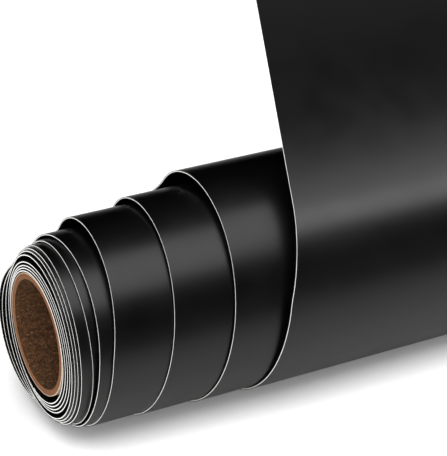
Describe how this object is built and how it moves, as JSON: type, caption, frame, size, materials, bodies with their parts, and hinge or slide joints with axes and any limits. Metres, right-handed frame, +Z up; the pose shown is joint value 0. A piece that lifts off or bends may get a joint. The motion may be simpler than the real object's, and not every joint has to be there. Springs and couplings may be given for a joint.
{
  "type": "roll of sign vinyl",
  "caption": "Loosened, telescoped roll of matte black sign vinyl on a paperboard core, its last stretch of sheet lifted off the roll.",
  "frame": {"origin": "middle of the flat that the outer turn rests on, on the table", "axes": "+X along the roll, from its protruding end to its recessed end; -Y towards the front, where the sheet lifts off; +Z up"},
  "size_m": [0.3847, 0.096, 0.1408],
  "materials": {
    "vinyl_film": "matte black calendered vinyl",
    "release_liner": "white cut edge, black printed back",
    "core_board": "raw recycled paperboard",
    "core_ply": "cream outer ply"
  },
  "bodies": {
    "outer_turn": {"film_outer_turn": "vinyl_film", "liner_outer_turn": "release_liner"},
    "turn_c": {"film_turn_c": "vinyl_film", "liner_turn_c": "release_liner"},
    "turn_b": {"film_turn_b": "vinyl_film", "liner_turn_b": "release_liner"},
    "turn_a": {"film_turn_a": "vinyl_film", "liner_turn_a": "release_liner"},
    "winding": {"film_winding": "vinyl_film", "liner_winding": "release_liner"},
    "core": {"core_board": "core_board", "core_outer_ply": "core_ply"},
    "raised_sheet": {"film_raised_sheet": "vinyl_film", "liner_raised_sheet": "release_liner"},
    "film_end": {"film_free_end": "vinyl_film"}
  },
  "joints": [
    {"name": "turn_c_slide", "type": "slide", "parent": "outer_turn", "child": "turn_c", "axis": [1, 0, 0], "range_m": [-0.005, 0.013]},
    {"name": "turn_b_slide", "type": "slide", "parent": "turn_c", "child": "turn_b", "axis": [1, 0, 0], "range_m": [-0.0055, 0.0143]},
    {"name": "turn_a_slide", "type": "slide", "parent": "turn_b", "child": "turn_a", "axis": [1, 0, 0], "range_m": [-0.0054, 0.01404]},
    {"name": "winding_slide", "type": "slide", "parent": "turn_a", "child": "winding", "axis": [1, 0, 0], "range_m": [-0.001, 0.0026]},
    {"name": "core_turn", "type": "hinge", "parent": "winding", "child": "core", "pos_m": [0, -0.0008, 0.0242], "axis": [1, 0, 0], "continuous": true},
    {"name": "sheet_swing", "type": "hinge", "parent": "outer_turn", "child": "raised_sheet", "pos_m": [0, -0.02191, 0.04886], "axis": [1, 0, 0], "range_deg": [-30, 60]},
    {"name": "film_peel", "type": "hinge", "parent": "raised_sheet", "child": "film_end", "pos_m": [0, 0.04301, 0.1227], "axis": [1, 0, 0], "range_deg": [0, 150]}
  ],
  "couplings": [
    {"joint": "turn_b_slide", "follows": "turn_c_slide", "ratio": 1.1},
    {"joint": "turn_a_slide", "follows": "turn_c_slide", "ratio": 1.08},
    {"joint": "winding_slide", "follows": "turn_c_slide", "ratio": 0.2}
  ]
}
